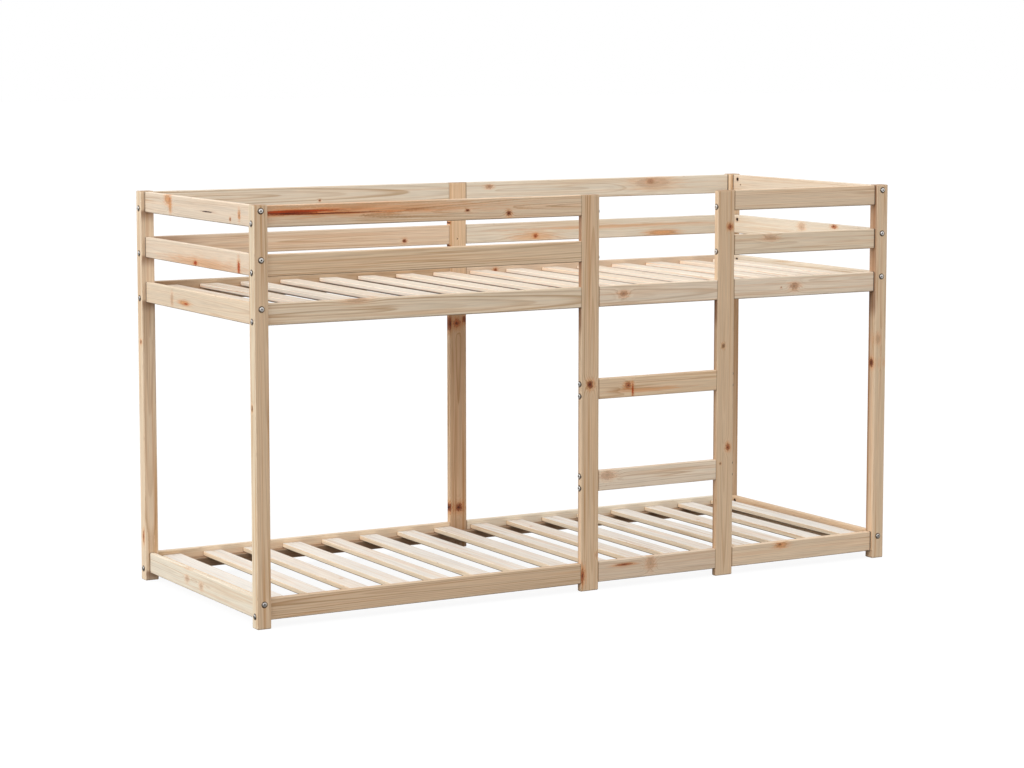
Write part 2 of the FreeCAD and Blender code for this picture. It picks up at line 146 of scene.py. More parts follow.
def make_pine_group():
    """Solid wood: growth rings round a heart line, fibres, blush, end grain and edges.

    Local is the point in the board's own frame: along, across and through it."""
    tree, n, given = new_group("pine", (
        ("Local", "Vector"), ("Half", "Vector"), ("Heart", "Vector"), ("Seed", "Float"),
        ("Taper", "Float"), ("Ring", "Float"), ("Contrast", "Float"), ("Bend", "Float"),
        ("Blush", "Float"), ("Streak", "Float"), ("Early", "Color"), ("Late", "Color"),
    ), (("Color", "Color"), ("Height", "Float"), ("Roughness", "Float")))
    along, across, through = n.separate(given["Local"])
    heart_along, heart_across, heart_through = n.separate(given["Heart"])
    offset = n.vector("SCALE", SEED_SHIFT)
    n.feed(offset.node.inputs["Scale"], given["Seed"])
    point = n.vector("ADD", given["Local"], offset)

    def stretched(x, y, detail=2.0, roughness=0.5):
        return n.noise(n.vector("MULTIPLY", point, (x, y, y)), detail, roughness)

    # Growth rings
    wander = stretched(1.4, 9.0, 2.0)
    ripple = stretched(9.0, 75.0, 2.0)
    side = n.math("ADD", n.math("SUBTRACT", across, heart_across), n.math("MULTIPLY", wander, 0.016))
    taper = n.math("MULTIPLY", n.math("SUBTRACT", along, heart_along), given["Taper"])
    depth = n.math("ADD", n.math("ADD", through, heart_through), taper)
    square = n.math("ADD", n.math("MULTIPLY", side, side), n.math("MULTIPLY", depth, depth))
    radius = n.math("SQRT", square)
    radius = n.math("ADD", radius, n.math("MULTIPLY", ripple, 0.0012))
    radius = n.math("ADD", radius, given["Bend"])
    count = n.math("DIVIDE", radius, given["Ring"])
    phase = n.math("FRACT", count)
    year = n.chance(n.math("ADD", n.math("FLOOR", count), given["Seed"]))
    late = n.math("MULTIPLY", n.smooth(phase, 0.35, 0.88), n.smooth(phase, 0.91, 1.0, 1.0, 0.0))
    line = n.math("MULTIPLY", late, n.math("MULTIPLY_ADD", n.math("MULTIPLY", year, year), 1.2, 0.25))
    color = n.mix(n.math("MULTIPLY", line, given["Contrast"], clamp=True), given["Early"], given["Late"])

    # Fibres, broader streaks, thin brown veins and a slow change of shade along the board
    fibre = stretched(14.0, 520.0, 2.0, 0.6)
    streak = stretched(1.3, 85.0, 2.0)
    cloud = stretched(2.4, 14.0, 1.0)
    shade = n.math("MULTIPLY_ADD", fibre, 0.36, 1.0)
    shade = n.math("MULTIPLY_ADD", streak, 0.36, shade)
    shade = n.math("MULTIPLY_ADD", cloud, 0.14, shade)
    color = n.mix(1.0, color, n.grey(shade), "MULTIPLY")
    brown = n.math("MULTIPLY", n.smooth(streak, 0.02, 0.20), given["Streak"])
    vein = n.smooth(n.math("ABSOLUTE", stretched(0.8, 60.0, 1.0)), 0.0, 0.035, 1.0, 0.0)
    vein = n.math("MULTIPLY", vein, n.smooth(cloud, -0.04, 0.12))
    brown = n.math("MAXIMUM", brown, n.math("MULTIPLY", vein, 0.75))
    color = n.mix(brown, color, n.mix(1.0, color, BROWN_TONE, "MULTIPLY"))
    blush = n.math("MULTIPLY", n.smooth(stretched(1.9, 22.0, 2.0), 0.02, 0.25), given["Blush"])
    color = n.mix(blush, color, n.mix(1.0, color, BLUSH_TONE, "MULTIPLY"))

    # Distance to the nearest long edge and to the sawn ends
    spare = n.vector("SUBTRACT", given["Half"], n.vector("ABSOLUTE", given["Local"]))
    a, b, c = n.separate(spare)
    nearest = n.math("MAXIMUM", n.math("MINIMUM", a, b), n.math("MINIMUM", n.math("MAXIMUM", a, b), c))
    dents = stretched(35.0, 160.0, 1.0)
    edge = n.smooth(n.math("MULTIPLY_ADD", dents, 0.004, nearest), 0.8 * MM, 4.0 * MM, 1.0, 0.0)
    color = n.mix(n.math("MULTIPLY", edge, 0.22), color, WORN_EDGE)
    near_edge = n.smooth(nearest, 1.0 * MM, 5.0 * MM, 1.0, 0.0)
    knock = n.math("MULTIPLY", n.smooth(dents, 0.17, 0.24), near_edge)
    color = n.mix(n.math("MULTIPLY", knock, 0.35), color, KNOCKED_EDGE)
    end = n.smooth(a, 0.6 * MM, 2.6 * MM, 0.75, 0.0)
    color = n.mix(end, color, n.mix(1.0, color, END_TONE, "MULTIPLY"))

    height = n.math("MULTIPLY_ADD", line, 0.35, n.math("MULTIPLY", fibre, 0.8))
    height = n.math("SUBTRACT", height, n.math("MULTIPLY", knock, 1.5))
    rough = n.math("MULTIPLY_ADD", line, -0.10, 0.62)
    rough = n.math("MULTIPLY_ADD", fibre, 0.16, rough)
    close_group(n, {"Color": color, "Height": height, "Roughness": rough})
    return tree


def make_knot_group():
    """One knot laid over the wood: dark pit, frayed body and an orange halo along the grain.

    Distance is 0 at the knot's centre and 1 at its rim."""
    tree, n, given = new_group("knot", (
        ("Color", "Color"), ("Local", "Vector"), ("Distance", "Float"), ("Body", "Color"),
        ("Strength", "Float"), ("Pit", "Float"), ("Halo", "Float"),
    ), (("Color", "Color"),))
    distance = given["Distance"]
    grain = n.noise(n.vector("MULTIPLY", given["Local"], (20.0, 400.0, 400.0)), 2.0)
    fray = n.noise(n.vector("MULTIPLY", given["Local"], (280.0, 340.0, 340.0)), 3.0, 0.65)
    reach = n.math("MULTIPLY_ADD", grain, 2.6, distance)
    halo = n.math("MULTIPLY", n.smooth(reach, 0.4, 2.4, 1.0, 0.0), given["Halo"])
    color = n.mix(halo, given["Color"], n.mix(1.0, given["Color"], HALO_TONE, "MULTIPLY"))
    frayed = n.math("MULTIPLY_ADD", fray, 1.3, distance)
    rings = n.math("SINE", n.math("MULTIPLY", frayed, 17.0))
    body = n.mix(1.0, given["Body"], n.grey(n.math("MULTIPLY_ADD", rings, 0.2, 0.95)), "MULTIPLY")
    inside = n.math("MULTIPLY", n.smooth(frayed, 0.55, 1.15, 1.0, 0.0), given["Strength"])
    color = n.mix(inside, color, body)
    rim = n.math("MULTIPLY", n.smooth(frayed, 0.65, 0.88), n.smooth(frayed, 0.92, 1.15, 1.0, 0.0))
    rim = n.math("MULTIPLY", n.math("MULTIPLY", rim, given["Strength"]), 0.4)
    color = n.mix(rim, color, KNOT_RIM)
    torn = n.math("MULTIPLY_ADD", fray, -1.1, distance)
    pit = n.math("MULTIPLY", n.smooth(torn, 0.12, 0.46, 1.0, 0.0), given["Pit"])
    close_group(n, {"Color": n.mix(pit, color, KNOT_PIT)})
    return tree


def make_distance_group():
    """Distance from a knot's middle line, in knot radii, with a ragged outline."""
    tree, n, given = new_group("knot_distance", (
        ("Local", "Vector"), ("Centre", "Vector"), ("Scale", "Vector"), ("Ragged", "Float"),
    ), (("Distance", "Float"),))
    away = n.vector("MULTIPLY", n.vector("SUBTRACT", given["Local"], given["Centre"]), given["Scale"])
    length = n.add("ShaderNodeVectorMath", operation="LENGTH")
    n.feed(length.inputs[0], away)
    ragged = n.noise(n.vector("MULTIPLY", given["Local"], (150.0, 260.0, 260.0)), 2.0)
    distance = n.math("ADD", length.outputs["Value"], n.math("MULTIPLY", ragged, given["Ragged"]))
    close_group(n, {"Distance": distance})
    return tree


PINE = make_pine_group()
KNOT = make_knot_group()
DISTANCE = make_distance_group()

# Kinds of knot: colour of the body, and strength of the body, of the dark pit and of the halo.
# pin also serves as painted shade round the barrel nut bores.
KNOTS = {
    "dark": ((0.26, 0.06, 0.02, 1), 0.92, 0.90, 0.85),
    "brown": ((0.34, 0.18, 0.09, 1), 0.80, 0.60, 0.60),
    "red": ((0.48, 0.13, 0.05, 1), 0.80, 0.75, 0.90),
    "vivid": ((0.62, 0.10, 0.02, 1), 0.95, 0.45, 0.90),
    "orange": ((0.80, 0.40, 0.18, 1), 0.70, 0.0, 0.90),
    "soft": ((0.48, 0.23, 0.13, 1), 0.60, 0.30, 0.60),
    "faint": ((0.56, 0.36, 0.24, 1), 0.40, 0.15, 0.50),
    "stain": ((0.62, 0.42, 0.28, 1), 0.0, 0.0, 0.75),
    "pin": ((0.07, 0.03, 0.02, 1), 0.95, 0.90, 0.20),
}


# ---- Wood on a board ------------------------------------------------------------------

def order_of(low, high):
    """Axis numbers of a board, longest first: along, across and through it."""
    size = [high[i] - low[i] for i in range(3)]
    return sorted(range(3), key=lambda i: -size[i])


def wood_frame(low, high, order):
    """Centre and half size of a board, with its axes put in the order along, across, through."""
    centre = [(low[i] + high[i]) / 2 for i in order]
    half = [(high[i] - low[i]) / 2 for i in order]
    return centre, half


def local_point(n, order, centre):
    """The shaded point in a board's own frame."""
    xyz = n.separate(n.add("ShaderNodeTexCoord").outputs["Object"])
    return n.vector("SUBTRACT", n.combine(*[xyz[i] for i in order]), tuple(centre))


def new_material(name):
    material = bpy.data.materials.new(name)
    material.use_nodes = True
    material.node_tree.nodes.clear()
    return material, Nodes(material.node_tree)


def finish_wood(n, color, wood):
    """Shader of bare, planed wood from the pine group's outputs."""
    shader = n.add("ShaderNodeBsdfPrincipled")
    bump = n.add("ShaderNodeBump")
    bump.inputs["Strength"].default_value = 0.35
    bump.inputs["Distance"].default_value = 0.25 * MM
    n.feed(bump.inputs["Height"], wood["Height"])
    n.feed(shader.inputs["Base Color"], color)
    n.feed(shader.inputs["Roughness"], wood["Roughness"])
    n.feed(shader.inputs["Normal"], bump.outputs["Normal"])
    shader.inputs["Specular IOR Level"].default_value = 0.30
    n.feed(n.add("ShaderNodeOutputMaterial").inputs["Surface"], shader.outputs[0])


def toned(color, tone):
    return [a * b for a, b in zip(color, tone)] + [1]


def tinted(n, color, tone, where):
    """Multiply the colour by a tone where the mask is 1."""
    return n.mix(where, color, n.mix(1.0, color, list(tone) + [1], "MULTIPLY"))


def on_face(n, value, low):
    """1 on the face at low and 0 from just inside it."""
    return n.smooth(value, low + SKIN[0], low + SKIN[1], 1.0, 0.0)


def off_face(n, value, high):
    """0 on the face at high and 1 from just inside it."""
    return n.smooth(value, high - SKIN[1], high - SKIN[0], 1.0, 0.0)


def below(n, z, top):
    """1 below the height top and 0 above it."""
    return n.smooth(z, top - BELOW_FADE[0], top + BELOW_FADE[1], 1.0, 0.0)


def between(n, z, bottom, top, fade):
    """1 from bottom to top, fading in over a length below bottom and ending sharply at top."""
    under_top = n.smooth(z, top, top + TOP_FADE, 1.0, 0.0)
    return n.math("MULTIPLY", n.smooth(z, bottom - fade, bottom), under_top)


def shade_left(n, color, board, low, high, y, z, left):
    """Painted light and shade on a post's left face: its tone, and painted shade on its rear part and
    its dim stretch.
    """
    reach = n.math("MULTIPLY", left, below(n, z, board.get("left_top", TALL)))
    color = tinted(n, color, TONES[board["left"]], reach)
    if "rear" in board:
        rear = n.smooth(y, low[1] + (high[1] - low[1]) * board["rear"], high[1])
        rear = n.math("MULTIPLY", rear, below(n, z, UPPER_BUNK))
        color = tinted(n, color, TONES["dark"], n.math("MULTIPLY", left, rear))
    if "dim" in board:
        dim = between(n, z, *board["dim"], DIM_FADE)
        color = tinted(n, color, TONES["dusk"], n.math("MULTIPLY", left, dim))
    return color


def shade_faces(n, color, board, low, high):
    """Paint light and shade onto a board: its left face's tone, and painted shade on the stretches that
    the light reaches less.
    """
    x, y, z = n.separate(n.add("ShaderNodeTexCoord").outputs["Object"])
    front = on_face(n, y, low[1])
    if "left" in board:
        color = shade_left(n, color, board, low, high, y, z, on_face(n, x, low[0]))
    # Painted shade below the upper bunk, on all faces but the back one
    if "under" in board:
        where = n.math("MULTIPLY", off_face(n, y, high[1]), below(n, z, UPPER_BUNK))
        color = tinted(n, color, TONES[board["under"]], where)
    # Painted shade on the front face near the board's left end
    if "corner" in board:
        near_end = n.smooth(x, low[0], low[0] + CORNER_REACH, 1.0, 0.0)
        color = tinted(n, color, TONES[board["corner"]], n.math("MULTIPLY", front, near_end))
    # Painted shadow on the front face just under each rail level
    if "under_rails" in board:
        for level in RAIL_LEVELS:
            band = between(n, z, level * MM, level * MM, BAND_FADE)
            color = tinted(n, color, TONES[board["under_rails"]], n.math("MULTIPLY", front, band))
    return color


def knot_distances(n, local, order, centre, half, knots):
    """Distance of every knot with its kind, and how far the knots push the rings aside."""
    bend, distances = 0.0, []
    for x, y, z, length, width, kind in knots:
        place = [(x, y, z)[i] * MM - centre[k] for k, i in enumerate(order)]
        scale = [2 / (length * MM), 2 / (width * MM), 0.0]
        on_narrow_face = abs(place[2]) < half[2] * 0.97
        if on_narrow_face:
            scale[1], scale[2] = 0.0, scale[1]
        ragged = RAGGED if length < 4 * width else RAGGED_STREAK
        distance = n.group(DISTANCE, Local=local, Centre=place, Scale=scale, Ragged=ragged)["Distance"]
        near = n.math("EXPONENT", n.math("MULTIPLY", n.math("MULTIPLY", distance, distance), -0.30))
        bend = n.math("MULTIPLY_ADD", near, width * MM * 0.75, bend)
        distances.append((distance, kind))
    return distances, bend


def add_knot(n, color, local, distance, kind):
    body, strength, pit, halo = KNOTS[kind]
    return n.group(
        KNOT, Color=color, Local=local, Distance=distance, Body=body, Strength=strength,
        Pit=pit, Halo=halo)["Color"]


def bolt_heads(node):
    """Middle points, in mm, of the bolt heads that sit on a post."""
    if node in CORNER_POSTS:
        x, y = CORNER_POSTS[node]
        for level in RAIL_LEVELS:
            yield x * END_FACE, y * SIDE_BOLT_Y, level + SIDE_BOLT_RISE
            yield x * END_BOLT_X, y * SIDE_FACE, level + END_BOLT_RISE
    if node in LADDER_POSTS:
        side = LADDER_POSTS[node]
        for level in RUNG_LEVELS:
            for rise in RUNG_BOLT_RISES:
                yield LADDER_X + side * RUNG_BOLT_REACH, -SIDE_BOLT_Y, level + rise
        for level in RAIL_LEVELS[2:]:
            yield LADDER_X + side * GUARD_BOLT_REACH, -SIDE_BOLT_Y, level + SIDE_BOLT_RISE


def add_bolt_shade(n, color, place):
    """Painted shade: a dark ring round a bolt head."""
    point = n.add("ShaderNodeTexCoord").outputs["Object"]
    length = n.add("ShaderNodeVectorMath", operation="LENGTH")
    n.feed(length.inputs[0], n.vector("SUBTRACT", point, [c * MM for c in place]))
    ring = n.smooth(length.outputs["Value"], *BOLT_SHADE_REACH, 0.9, 0.0)
    return n.mix(ring, color, BOLT_SHADE)


def add_seam(n, color, local, half):
    """Dark joint line where the far end of a rail meets its corner post."""
    along = n.separate(local)[0]
    line = n.smooth(along, half[0] - SEAM_REACH[1], half[0] - SEAM_REACH[0], 0.0, 0.88)
    return n.mix(line, color, SEAM)


def board_material(node, board):
    """Pine for one board, with its own heart line, tone, shaded stretches and knots."""
    low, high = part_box(node)
    order = order_of(low, high)
    centre, half = wood_frame(low, high, order)
    material, n = new_material(f"{node}_pine")
    local = local_point(n, order, centre)
    distances, bend = knot_distances(n, local, order, centre, half, board.get("knots", ()))
    tone = TONES[board["tone"]]
    wood = n.group(
        PINE, Local=local, Half=half, Heart=board["heart"], Seed=board["seed"],
        Taper=board.get("taper", 0.02), Ring=board.get("ring", 4.5) * MM,
        Contrast=board.get("contrast", 0.5), Bend=bend, Blush=BLUSH,
        Streak=board.get("streak", 0.5), Early=toned(EARLY_WOOD, tone), Late=toned(LATE_WOOD, tone))
    color = shade_faces(n, wood["Color"], board, low, high)
    # Painted shade along the underside of every rail
    if node.endswith("rail"):
        z = n.separate(n.add("ShaderNodeTexCoord").outputs["Object"])[2]
        underside = n.smooth(z, low[2] + UNDERSIDE_SHADE[0], low[2] + UNDERSIDE_SHADE[1], 1.0, 0.0)
        color = tinted(n, color, TONES["dark"], underside)
    if node.endswith("right_rail") or "_end_" in node:
        color = add_seam(n, color, local, half)
    for distance, kind in distances:
        color = add_knot(n, color, local, distance, kind)
    # Painted shade round the bolt heads on this post
    for place in bolt_heads(node):
        color = add_bolt_shade(n, color, place)
    finish_wood(n, color, wood)
    return material


def slat_material(node, slats):
    """Pine for a whole slatted base: each slat gets its own shade and grain."""
    low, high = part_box(node)
    seed = slats["seed"]
    material, n = new_material(f"{node}_pine")
    x, y, z = n.separate(n.add("ShaderNodeTexCoord").outputs["Object"])
    first = SLAT_FIRST - (SLAT_PITCH - SLAT_WIDTH) / 2
    step = n.math("DIVIDE", n.math("SUBTRACT", x, first), SLAT_PITCH)
    index = n.math("FLOOR", step)
    across = n.math("MULTIPLY", n.math("SUBTRACT", n.math("FRACT", step), 0.5), SLAT_PITCH)
    through = n.math("SUBTRACT", z, (low[2] + high[2]) / 2)
    local = n.combine(y, across, through)
    luck = n.chance(n.math("ADD", index, seed))
    other = n.chance(n.math("ADD", index, seed + 0.37))
    third = n.chance(n.math("ADD", index, seed + 0.71))
    heart = n.combine(
        n.math("MULTIPLY_ADD", other, 2.4, -1.2),
        n.math("MULTIPLY_ADD", luck, 0.05, -0.025),
        n.math("MULTIPLY_ADD", third, 0.05, 0.008))
    pale, warm = (toned(color, slats["tone"]) for color in SLAT_WOOD)
    early = n.mix(luck, pale, warm)
    late = n.mix(0.5, early, SLAT_LATE_WOOD)
    half = [(high[1] - low[1]) / 2, SLAT_WIDTH / 2, (high[2] - low[2]) / 2]
    wood = n.group(
        PINE, Local=local, Half=half, Heart=heart, Seed=n.math("MULTIPLY_ADD", other, 40.0, seed),
        Taper=0.016, Ring=5.0 * MM, Contrast=0.45, Bend=0.0, Blush=BLUSH, Streak=0.45,
        Early=early, Late=late)

    # Painted light and shade: each slat's left side takes the set's side tone, and its lower left
    # edge and upper right edge get painted shade from its neighbours
    on_side = n.smooth(across, 0.4 * MM - SLAT_WIDTH / 2, 1.2 * MM - SLAT_WIDTH / 2, 1.0, 0.0)
    color = tinted(n, wood["Color"], slats["side"], on_side)
    arris_shade = n.smooth(z, low[2] + 1.6 * MM, low[2] + slats["arris_shade"] * MM, 0.95, 0.0)
    color = n.mix(n.math("MULTIPLY", on_side, arris_shade), color, SLAT_ARRIS_SHADE)
    lee_shade = n.smooth(across, SLAT_WIDTH / 2 - 2.8 * MM, SLAT_WIDTH / 2 - 1.4 * MM)
    lee_shade = n.math("MULTIPLY", lee_shade, n.smooth(z, high[2] - 2.6 * MM, high[2] - 1.6 * MM, 0.0, 0.75))
    color = n.mix(lee_shade, color, SLAT_LEE_SHADE)

    # A faint knot on about two slats in five
    knot_at = n.combine(
        n.math("MULTIPLY_ADD", third, 0.62, -0.31), n.math("MULTIPLY_ADD", other, 0.036, -0.018), 0.0)
    has_knot = n.math("GREATER_THAN", luck, 0.62)
    distance = n.group(
        DISTANCE, Local=local, Centre=knot_at, Scale=(160.0, 230.0, 0.0), Ragged=RAGGED)["Distance"]
    knotted = add_knot(n, color, local, distance, "faint")
    finish_wood(n, n.mix(has_knot, color, knotted), wood)
    return material


# ---- The boards -----------------------------------------------------------------------

# Albedo of the early and late wood, and of the palest and warmest slats
EARLY_WOOD = (0.80, 0.63, 0.46)
LATE_WOOD = (0.60, 0.40, 0.24)
SLAT_WOOD = ((0.94, 0.86, 0.76), (0.92, 0.80, 0.67))
SLAT_LATE_WOOD = (0.66, 0.45, 0.29, 1)
BLUSH = 0.3

# Dark lines: painted shade round bolt heads, dark joint lines at the corner posts, and painted
# shade along two edges of a slat
BOLT_SHADE = (0.085, 0.05, 0.03, 1)
SEAM = (0.085, 0.045, 0.028, 1)
SLAT_ARRIS_SHADE = (0.11, 0.055, 0.028, 1)
SLAT_LEE_SHADE = (0.30, 0.19, 0.11, 1)

# Where those lines fade out: from a bolt head's middle, from a rail's end, and how far
# up the painted shade on a rail's underside reaches
BOLT_SHADE_REACH = (8.2 * MM, 9.6 * MM)
SEAM_REACH = (3.0 * MM, 4.4 * MM)
UNDERSIDE_SHADE = (0.8 * MM, 2.4 * MM)

# Tones of boards and of stretches of a board; each multiplies the colour of the wood. They
# hold painted light and shade as well as the wood's own colour; smoky, shaded, dusk and
# dark serve only as painted shade.
TONES = {
    "bright": (1.17, 1.34, 1.50),
    "rose": (1.14, 1.21, 1.30),
    "grey": (1.03, 1.17, 1.32),
    "pale": (1.12, 1.17, 1.20),
    "straw": (1.11, 1.10, 1.08),
    "cool": (0.97, 1.05, 1.14),
    "plain": (1.01, 1.02, 1.05),
    "honey": (1.07, 1.03, 0.96),
    "amber": (1.02, 0.95, 0.86),
    "tan": (0.96, 0.90, 0.83),
    "dull": (0.84, 0.82, 0.78),
    "smoky": (0.80, 0.74, 0.70),
    "shaded": (0.80, 0.72, 0.62),
    "dusk": (0.60, 0.50, 0.46),
    "dark": (0.50, 0.40, 0.33),
}

# Depth over which a face's painted tone ends, how far the other stretches of painted shade
# fade, and how ragged the outlines of round knots and of long streaks are
SKIN = (0.3 * MM, 1.3 * MM)
BELOW_FADE = (20 * MM, 60 * MM)
TOP_FADE = 10 * MM
DIM_FADE = 50 * MM
BAND_FADE = 34 * MM
CORNER_REACH = 200 * MM
RAGGED = 1.1
RAGGED_STREAK = 0.25

# Heights, in metres, that stretches of painted light and shade reach
TALL = 2.0
UPPER_BUNK = 0.80

# Outer faces of the corner posts, where the bolt heads sit on the posts, and heights of
# the lower edges of rails and rungs, in mm
END_FACE, SIDE_FACE = 1027.5, 400
SIDE_BOLT_Y, END_BOLT_X = 383, 1007.5
SIDE_BOLT_RISE, END_BOLT_RISE, RUNG_BOLT_RISES = 11, 44, (11, 45)
RAIL_LEVELS = (22, 802, 930, 1058)
RUNG_LEVELS = (282, 542)
CORNER_POSTS = {
    "front_left_post": (-1, -1), "front_right_post": (1, -1),
    "back_left_post": (-1, 1), "back_right_post": (1, 1),
}

# Middle of the ladder, and how far from it the faces with the rung and guard bolts are
LADDER_X, RUNG_BOLT_REACH, GUARD_BOLT_REACH = 228, 257, 199
LADDER_POSTS = {"left_ladder_post": -1, "right_ladder_post": 1}

# First slat's left edge, pitch and width, in metres
SLAT_FIRST, SLAT_PITCH, SLAT_WIDTH = -0.9725, 0.1267, 0.058
# Each set's tone is lighter on the lower slats, painted light against the upper bunk's shade; its side
# tone, on each slat's left side, is painted light on the upper slats and painted shade on the lower
# ones; and the height (mm) given next to them is how far up a slat's lower left edge the painted shade
# reaches.
SLATS = {
    "lower_slats": dict(seed=41.0, arris_shade=3.2, tone=(1.0, 1.04, 1.08), side=(1.05, 0.94, 0.78)),
    "upper_slats": dict(seed=67.0, arris_shade=6.4, tone=(0.95, 0.94, 0.91), side=(1.33, 1.35, 1.40)),
}

# Faces that carry the knots, in mm
FRONT_Y, BACK_Y, CORNER_Y = -392, 374, -SIDE_FACE
LEFT_X, RIGHT_X, POST_X = -1015, 1000, -END_FACE

# Barrel nut bores of the right end rails: distance from the middle, and width of the painted
# shade round each bore
NUT_Y, NUT_SHADE = 341, 13


def bore_shade(level):
    """Painted shade round the two barrel nut bores on a right end rail's inner face."""
    for y in (-NUT_Y, NUT_Y):
        yield RIGHT_X, y, level + END_BOLT_RISE, NUT_SHADE, NUT_SHADE, "pin"
